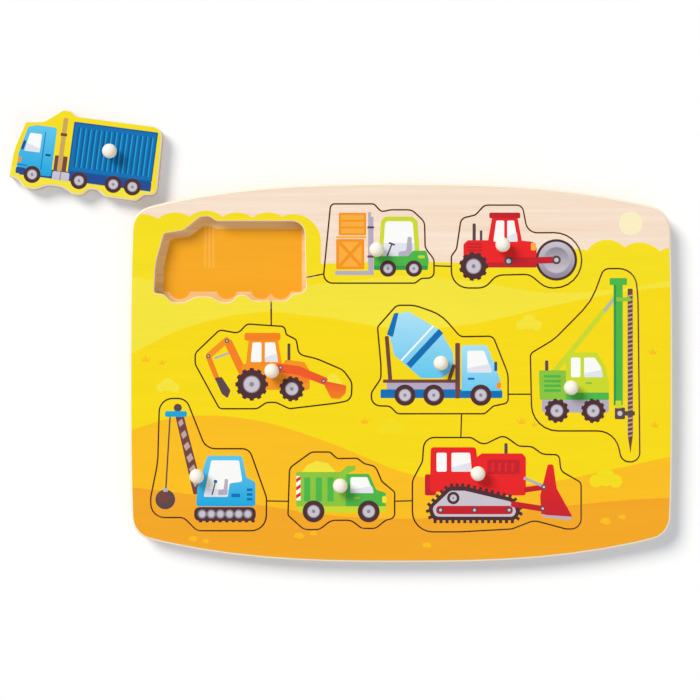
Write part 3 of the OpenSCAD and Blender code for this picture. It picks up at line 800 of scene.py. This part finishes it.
def draw_dump(d):
    d.area("straw", [(6.4, 30.6), (10.6, 35.4), (15.4, 37.6), (21.4, 36.6), (27.6, 30.6)], 1.6)
    d.area("leaf", [(4.6, 12.6), (4.4, 31.6), (28.6, 31.6), (32.6, 35), (37, 35), (37, 32.8),
                    (32.4, 30.6), (32.4, 12.6)], 0.8)
    for x in (8.8, 15.2, 21.6):
        d.box("green", x, 15.4, x + 3.4, 28.6, 0.6)
    d.box("white", 4.5, 16, 6.9, 29.4, 0.3)
    for k in range(3):
        y = 17 + 4.4 * k
        d.area("red", [(4.5, y), (6.9, y + 1.6), (6.9, y + 3.6), (4.5, y + 2.0)])
    d.area("green", [(31.6, 11.6), (31.6, 30.6), (44.4, 30.6), (48.4, 21.8), (53.6, 20.2),
                     (53.6, 11.6)], 1.5)
    d.pane([(34.2, 20.0), (34.2, 28.8), (43.4, 28.8), (47.0, 20.0)], (34.2, 22.0), (46.1, 23.8), 1.0, 0.6)
    d.box("leaf", 36, 16.8, 39.6, 18, 0.5)
    d.box("lime", 5.4, 9.4, 53.8, 12.8, 0.8)
    d.box("straw", 51.6, 14.6, 54, 18.4, 0.9)
    d.wheel(14, 10, 6.0)
    d.wheel(44.2, 10, 6.0)


def draw_dozer(d):
    d.box("iron", 50.4, 41, 52.2, 48.6, 0.6)
    d.box("crimson", 6.8, 20, 13, 31.6, 1.3)
    d.area("red", [(9.6, 22), (10, 46.4), (34.8, 46.4), (36.8, 30), (36.8, 22)], 1.9)
    d.area("red", [(34, 20), (34, 40), (38, 43), (60.2, 43), (62.2, 40.8), (62.2, 20)], 1.7)
    d.box("crimson", 41, 31.6, 58.8, 39.6, 1.0)
    d.boxes("red", 4, (3.6, 0), 43.4, 33.2, 44.8, 38, 0.4)
    d.box("white", 13.2, 33, 18.8, 43.4, 1.0)
    d.pane([(21.4, 33), (21.4, 43.4), (31.6, 43.4), (32.6, 33)], (21.4, 35.4), (32, 38), 1.0, 0.7)
    belt = [(8.4, 13.4), (10.8, 6.4), (56.4, 6.4), (59.6, 11.6), (55, 18.6), (29, 25), (20, 25)]
    d.lugs("tyre", belt, 3.2, 1.7, 1.6)
    d.area("tyre", belt, 4)
    d.area("hub", [(10.8, 13.2), (12.4, 8.4), (55.6, 8.4), (57, 11.6), (54, 16.6), (28.6, 22.6),
                   (20.8, 22.6)], 3)
    d.wheel(22.4, 18.6, 3.4)
    d.bar("crimson", (13, 12), (55, 12), 4.6, 2.2)
    for x in (15.4, 34, 53):
        d.pin(x, 12, 1.6)
    d.bar("crimson", (54, 15.4), (72, 12.6), 3.2, 1.4)
    d.bar("crimson", (61, 23), (72.4, 24.6), 3.0, 1.4)
    d.bar("steel", (61, 29.6), (72, 25), 1.6)
    d.area(("crimson", "red"), [(70.6, 9.4), (70, 20), (74.2, 37), (77.2, 37), (79, 24), (87.4, 8.8),
                                (86.8, 6.6)], 1.2)
    d.area("steel", [(70.6, 10), (74, 9.2), (87.2, 8.4), (86.8, 6.4), (71.4, 8.2)], 0.4)
    d.pin(71.4, 12.8, 1.4)
    d.pin(72, 24.6, 1.4)


# Scenery across the whole board, from the board's centre
SIDE = 160.0
FOOT = -120.0


def draw_field(d, ink, crest):
    """A field below a crest line that is given as heights at even steps across the board."""
    steps = len(crest) - 1
    ridge = []
    for i in range(steps):
        before, a = crest[max(i - 1, 0)], crest[i]
        b, after = crest[i + 1], crest[min(i + 2, steps)]
        for k in range(RIDGE_STEPS):
            t = k / RIDGE_STEPS
            bend = (b - before) * t + (2 * before - 5 * a + 4 * b - after) * t * t
            y = a + 0.5 * (bend + (3 * a - before - 3 * b + after) * t ** 3)
            ridge.append((-SIDE + (i + t) * 2 * SIDE / steps, y))
    d.area(ink, [(-SIDE, FOOT)] + ridge + [(SIDE, crest[-1]), (SIDE, FOOT)])


def draw_grove(d, ink, foot, crowns):
    for x, y, radius in crowns:
        d.disc(ink, x, y, radius)
    left = crowns[0][0] - crowns[0][2]
    right = crowns[-1][0] + crowns[-1][2]
    middles = [(x, y) for x, y, _ in crowns]
    d.area(ink, [(left, foot)] + middles + [(right, crowns[-1][1]), (right, foot)])


def draw_bush(d, ink, x, y, size):
    for dx, dy, radius in ((-0.75, 0.4, 0.5), (0, 0.7, 0.72), (0.8, 0.38, 0.52)):
        d.disc(ink, x + dx * size, y + dy * size, radius * size)


def draw_tuft(d, ink, x, y, size):
    blades = ((-0.5, 0), (-0.85, 0.9), (-0.3, 0.4), (0, 1.25), (0.3, 0.4), (0.85, 0.9), (0.5, 0))
    d.area(ink, [(x + p * size, y + q * size) for p, q in blades])


def draw_pebble(d, ink, x, y, size):
    d.area(ink, [(x - size, y), (x - 0.6 * size, y + 0.7 * size), (x + 0.5 * size, y + 0.8 * size),
                 (x + size, y + 0.1 * size), (x + 0.4 * size, y - 0.35 * size)], 0.35 * size)


def draw_scenery(d):
    d.disc("cream", 126, 82, 6.5)
    draw_grove(d, "lemon", 40, [(-142, 70, 17), (-124, 74, 14), (-107, 75, 14), (-90, 73.5, 14.5),
                                (-73, 74, 14), (-59, 72, 15)])
    draw_grove(d, "lemon", 40, [(97, 55, 13), (113, 60, 13), (131, 57, 14.5), (150, 54, 15)])
    draw_field(d, "lemon", [60, 60, 59, 60, 61, 60, 58, 58, 59])
    draw_field(d, "straw", [54, 49, 46, 49, 53, 50, 44, 46, 52])
    draw_field(d, "yellow", [6, 24, 33, 30, 24, 27, 36, 44, 48])
    draw_field(d, "amber", [-34, -24, -26, -38, -54, -62, -60, -52, -44])
    draw_field(d, "ochre", [-62, -66, -72, -78, -80, -78, -74, -70, -68])
    for x, y, size in ((-138, 26, 6.5), (-16, 31, 6), (70, 24, 5.5), (-128, -10, 5)):
        draw_bush(d, "straw", x, y, size)
    for x, y, size in ((-6, -33, 6), (112, -62, 7)):
        draw_bush(d, "lemon", x, y, size)
    for x, y, size in ((-140, 6, 3.2), (-131, 4.5, 2.6), (-20, -28, 3), (66, -28, 3.2), (73, -29.5, 2.5),
                       (138, 10, 3), (139, -30, 3)):
        draw_tuft(d, "amber", x, y, size)
    for x, y, size in ((-114, -91.5, 2.6), (-107, -92.6, 1.9), (-56, -90, 3.2), (-48, -88.5, 2.2),
                       (112, -82, 3.4), (121, -79.5, 2.3), (14, -95, 2.8)):
        draw_pebble(d, "amber", x, y, size)


# Printing on a flat face
def covered(rings, spots):
    """Which spots lie inside the rings, holes left out."""
    inside = np.zeros(len(spots), bool)
    for ring in rings:
        start = np.array(ring)
        end = np.roll(start, -1, axis=0)
        for (x0, y0), (x1, y1) in zip(start, end):
            crossing = (y0 > spots[:, 1]) != (y1 > spots[:, 1])
            if crossing.any():
                reach = x0 + (spots[crossing, 1] - y0) * (x1 - x0) / (y1 - y0)
                inside[crossing] ^= spots[crossing, 0] < reach
    return inside


def lay_print(rings, shapes):
    """Cuts the face in the rings along every shape: its points, triangles and topmost shapes."""
    points, edges = [], []
    for ring in rings + [ring for ink, ring in shapes]:
        first, count = len(points), len(ring)
        points.extend(Vector(p) for p in ring)
        edges.extend((first + i, first + (i + 1) % count) for i in range(count))
    spots, _, faces, *_ = delaunay_2d_cdt(points, edges, [], 0, NEAR, False)
    spots = np.array([tuple(p) for p in spots])
    faces = np.array(faces)
    middles = spots[faces].mean(axis=1)
    keep = covered(rings, middles)
    faces, middles = faces[keep], middles[keep]
    tops = np.full(len(faces), BARE)
    for i, (ink, ring) in enumerate(shapes):
        tops[covered([ring], middles)] = i
    used, faces = np.unique(faces, return_inverse=True)
    return spots[used], faces.reshape(-1, 3), tops


def shape_colours(ink, ring, spots):
    """The colour of a shape at each spot: one ink, or a change from the lower ink to the upper."""
    if isinstance(ink, str):
        return np.tile(linear(INKS[ink]), (len(spots), 1))
    low, high = np.array(linear(INKS[ink[0]])), np.array(linear(INKS[ink[1]]))
    heights = [p[1] for p in ring]
    share = np.clip((spots[:, 1] - min(heights)) / (max(heights) - min(heights)), 0, 1)[:, None]
    return low * (1 - share) + high * share


def printed_mesh(name, face, shapes, top, arris, bare):
    """A flat mesh of the printed face, with its ink, its arris and its place in the board."""
    spots, triangles, tops = face
    mesh = bpy.data.meshes.new(name)
    places = np.column_stack([spots * MM, np.full(len(spots), top * MM)])
    mesh.from_pydata(places.tolist(), [], triangles.tolist())
    mesh.materials.append(printed_ink)
    mesh.materials.append(bare)
    mesh.polygons.foreach_set("material_index", np.where(tops == BARE, 1, 0).astype(np.int32))
    colours = np.ones((len(triangles), 3, 4))
    for i, (ink, ring) in enumerate(shapes):
        chosen = tops == i
        if chosen.any():
            corners = spots[triangles[chosen].ravel()]
            colours[chosen] = shape_colours(ink, ring, corners).reshape(-1, 3, 4)
    layer = mesh.attributes.new("ink", "FLOAT_COLOR", "CORNER")
    layer.data.foreach_set("color", colours.astype(np.float32).ravel())
    layer = mesh.attributes.new("arris", "FLOAT", "POINT")
    layer.data.foreach_set("value", (arris(spots) * MM).astype(np.float32))
    return mesh


def sawn_sheet(name, rings, shapes, top, thickness, plies, back_arris, arris, bare):
    """One sawn sheet, printed on its face, where it lies in the board."""
    face = lay_print([inset(ring, arris) for ring in rings], shapes)
    mesh = printed_mesh(name, face, shapes, top, arris, bare)
    sheet = shaped(name, mesh, sheet_tree, {
        "Top": top * MM, "Thickness": thickness * MM, "Back Arris": back_arris * MM,
        "Plies": float(plies), "Edge Wood": sawn_edge, "Back Wood": bare})
    places = np.zeros(len(sheet.data.vertices) * 3, np.float32)
    sheet.data.vertices.foreach_get("co", places)
    layer = sheet.data.attributes.new("grain", "FLOAT_VECTOR", "POINT")
    layer.data.foreach_set("vector", places)
    return sheet, face


def figure_edges(face, first):
    """Rings around all that is printed from a given shape on, for the picture under a piece."""
    spots, triangles, tops = face
    following = {}
    for a, b, c in triangles[tops >= first].tolist():
        for start, end in ((a, b), (b, c), (c, a)):
            if following.get(end, {}).pop(start, None) is None:
                following.setdefault(start, {})[end] = True
    rings = []
    for start in following:
        while following[start]:
            ring = [start]
            ahead = following[start].popitem()[0]
            while ahead != start:
                ring.append(ahead)
                ahead = following[ahead].popitem()[0]
            rings.append([tuple(spots[i]) for i in ring])
    return rings


VEHICLES = [
    ("container_truck", draw_truck, "truck_print"), ("forklift", draw_forklift, "forklift_print"),
    ("road_roller", draw_roller, "roller_print"), ("backhoe", draw_backhoe, "backhoe_print"),
    ("mixer_truck", draw_mixer, "mixer_print"), ("drill_rig", draw_drill, "drill_print"),
    ("wrecking_crane", draw_crane, "crane_print"), ("dump_truck", draw_dump, "dump_print"),
    ("bulldozer", draw_dozer, "dozer_print"),
]


def turned(ring, angle):
    c, s = math.cos(angle), math.sin(angle)
    return [(x * c - y * s, x * s + y * c) for x, y in ring]


def corner_of(ring):
    return min(p[0] for p in ring), min(p[1] for p in ring)


def in_open_well(spots):
    from_corner = spots - np.array(TRUCK_WELL)
    within = (from_corner > -WELL_MARGIN) & (from_corner < np.array(TRUCK_SIZE) + WELL_MARGIN)
    return within.all(axis=1)


def thickness_of(node):
    low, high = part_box(node)
    return (high.z - low.z) / MM


def settle(piece, body, node):
    """Sets a finished piece on its body, in place of its solid."""
    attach(piece, body)
    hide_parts(node)


scenery = Drawing()
draw_scenery(scenery)
under_pieces = []


# Vehicle pieces; the loose one is printed where its well is and then laid beside the board
def make_piece(name, draw):
    node = name + "_piece"
    rings, top = top_rings(node)
    outline = rings[0]
    loose = name == "container_truck"
    if loose:
        level = turned(outline, -LOOSE_TURN)
        corner = corner_of(level)
        shift = (TRUCK_WELL[0] + KERF / 2 - corner[0], TRUCK_WELL[1] + KERF / 2 - corner[1])
        outline = [(x + shift[0], y + shift[1]) for x, y in level]
    corner = corner_of(outline)
    drawing = Drawing()
    draw(drawing)
    figure = drawing.moved(corner[0] - KERF / 2, corner[1] - KERF / 2)
    arris = LOOSE_ARRIS if loose else PIECE_ARRIS
    sheet, face = sawn_sheet(name + "_sheet", [outline], scenery.shapes + figure, top,
                             thickness_of(node), FRAME_PLIES, arris, even_arris(arris), bare_face)
    first = len(scenery.shapes)
    under_pieces.extend(("shade", ring) for ring in figure_edges(face, first))
    if loose:
        base = Drawing()
        draw_truck_base(base)
        under_pieces.extend(base.moved(*TRUCK_WELL))
        back = Matrix.Translation((-shift[0] * MM, -shift[1] * MM, 0))
        sheet.data.transform(Matrix.Rotation(LOOSE_TURN, 4, "Z") @ back)
    settle(sheet, name, node)


# Turned pegs
def peg_outline(height):
    half = (height - PEG_NECK_H) / 2
    middle = height - half
    points = [(PEG_FOOT_R * share, -PEG_SEAT) for share in (0, PEG_FOOT_RING, 1)]
    for k in range(PEG_STEPS + 1):
        t = k / PEG_STEPS
        swell = (1 + math.cos(math.pi * t)) / 2
        points.append((PEG_NECK_R + (PEG_FOOT_R - PEG_NECK_R) * swell,
                       PEG_FOOT_H + (PEG_NECK_H - PEG_FOOT_H) * t))
    for k in range(1, PEG_STEPS):
        t = math.pi / 2 * k / PEG_STEPS
        points.append((PEG_NECK_R + (PEG_HEAD_R - PEG_NECK_R) * math.sin(t),
                       middle - half * math.cos(t)))
    for k in range(PEG_STEPS + 1):
        t = math.pi / 2 * k / PEG_STEPS
        points.append((PEG_HEAD_R * math.cos(t), middle + half * math.sin(t)))
    return points


def make_peg(name):
    node = name + "_peg"
    low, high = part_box(node)
    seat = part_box(name + "_piece")[1].z
    outline = peg_outline((high.z - seat) / MM)
    mesh = bpy.data.meshes.new(node)
    lines = [(i, i + 1) for i in range(len(outline) - 1)]
    mesh.from_pydata([(r * MM, 0, z * MM) for r, z in outline], lines, [])
    place = ((low.x + high.x) / 2, (low.y + high.y) / 2, seat)
    peg = shaped(name + "_turned_peg", mesh, lathe_tree,
                 {"Sides": PEG_SIDES, "Place": place, "Wood": peg_wood})
    settle(peg, name, node)


for name, draw, slot in VEHICLES:
    make_piece(name, draw)
    make_peg(name)


# Board: the sawn frame and its backing
def frame_arris(outline):
    """A wide arris round the board's outline, a fine one round wells, its own round the open well."""
    core = inset(outline, even_arris(RIM))

    def arris(spots):
        widths = np.where(covered([core], spots), WELL_ARRIS, BOARD_ARRIS)
        return np.where(in_open_well(spots), OPEN_WELL_ARRIS, widths)

    return arris


def backing_arris(outline):
    """The same narrow arris all round, whatever the outline."""
    return even_arris(GLUE_LINE)


def make_layer(node, name, shapes, plies, arris, bare):
    rings, top = top_rings(node)
    sheet, _ = sawn_sheet(name, rings, shapes, top, thickness_of(node), plies, GLUE_LINE,
                          arris(rings[0]), bare)
    settle(sheet, "board", node)


make_layer("frame_board", "frame_sheet", scenery.shapes, FRAME_PLIES, frame_arris, bare_face)
make_layer("backing_board", "backing_sheet", under_pieces, BACKING_PLIES, backing_arris, backing_face)


# Camera almost straight above the board: lengths in metres, its sensor in millimetres
VIEW_CENTRE = Vector((-28.0, 12.5, 11.0)) * MM
VIEW_WIDTH = 0.3838
VIEW_DISTANCE = 1.1
VIEW_ELEVATION = math.radians(89.5)
VIEW_START = 0.01
SENSOR = 36.0


def make_camera():
    data = bpy.data.cameras.new("camera")
    data.sensor_width = SENSOR
    data.lens = SENSOR * VIEW_DISTANCE / VIEW_WIDTH
    data.clip_start = VIEW_START
    camera = bpy.data.objects.new("camera", data)
    back = Vector((0, -math.cos(VIEW_ELEVATION), math.sin(VIEW_ELEVATION)))
    camera.location = VIEW_CENTRE + back * VIEW_DISTANCE
    camera.rotation_euler = (math.pi / 2 - VIEW_ELEVATION, 0, 0)
    bpy.context.scene.collection.objects.link(camera)
    bpy.context.scene.camera = camera


# Soft light from the upper left, a weaker one from the lower right, white surround and floor
WINDOW = {"strength": 2.47, "spread": 28, "elevation": 40.5, "azimuth": 137}
REFLECTOR = {"strength": 0.7, "spread": 70, "elevation": 40, "azimuth": -48}
FILL_STRENGTH = 0.35
WHITE = (1, 1, 1, 1)
FLOOR_HALF = 3.0
FLOOR_DROP = 0.0002
FLOOR_UNSEEN = (0.82, 0.84, 0.87, 1)
FLOOR_SEEN = (1.0, 0.93, 0.85, 1)
FLOOR_GLOW = {"Color": (0.0, 0.47, 1.0, 1), "Strength": 0.15}


def make_light(name, strength, spread, elevation, azimuth):
    data = bpy.data.lights.new(name, "SUN")
    data.energy = strength
    data.angle = math.radians(spread)
    lamp = bpy.data.objects.new(name, data)
    rise, turn = math.radians(elevation), math.radians(azimuth)
    level = math.cos(rise)
    toward = Vector((math.cos(turn) * level, math.sin(turn) * level, math.sin(rise)))
    lamp.rotation_euler = toward.to_track_quat("Z", "Y").to_euler()
    lamp.location = toward
    bpy.context.scene.collection.objects.link(lamp)


def where_seen(tree, unseen, seen):
    """One shader for the light that falls on things, another for what is seen or mirrored."""
    ray = add(tree, "ShaderNodeLightPath").outputs
    share = number(tree, "MAXIMUM", ray["Is Camera Ray"], ray["Is Glossy Ray"])
    share = number(tree, "MAXIMUM", share, ray["Is Transmission Ray"])
    return add(tree, "ShaderNodeMixShader", {0: share, 1: unseen, 2: seen}).outputs[0]


def make_surround():
    world = bpy.data.worlds.new("surround")
    bpy.context.scene.world = world
    world.use_nodes = True
    tree = world.node_tree
    tree.nodes.clear()
    fill = add(tree, "ShaderNodeBackground", {"Color": WHITE, "Strength": FILL_STRENGTH})
    white = add(tree, "ShaderNodeBackground", {"Color": WHITE, "Strength": 1.0})
    surface = where_seen(tree, fill.outputs[0], white.outputs[0])
    add(tree, "ShaderNodeOutputWorld", {"Surface": surface})


def make_floor():
    mesh = bpy.data.meshes.new("floor")
    h, z = FLOOR_HALF, -FLOOR_DROP
    mesh.from_pydata([(-h, -h, z), (h, -h, z), (h, h, z), (-h, h, z)], [], [(0, 1, 2, 3)])
    floor = bpy.data.objects.new("floor", mesh)
    bpy.context.scene.collection.objects.link(floor)
    material = bpy.data.materials.new("white_floor")
    material.use_nodes = True
    tree = material.node_tree
    tree.nodes.clear()
    matt = add(tree, "ShaderNodeBsdfDiffuse", {"Color": FLOOR_UNSEEN})
    white = add(tree, "ShaderNodeBsdfDiffuse", {"Color": FLOOR_SEEN})
    glow = add(tree, "ShaderNodeEmission", FLOOR_GLOW)
    seen = add(tree, "ShaderNodeAddShader", {0: white.outputs[0], 1: glow.outputs[0]})
    surface = where_seen(tree, matt.outputs[0], seen.outputs[0])
    add(tree, "ShaderNodeOutputMaterial", {"Surface": surface})
    mesh.materials.append(material)


make_camera()
make_light("window_light", **WINDOW)
make_light("reflector", **REFLECTOR)
make_surround()
make_floor()
bpy.context.scene.view_settings.view_transform = "Standard"
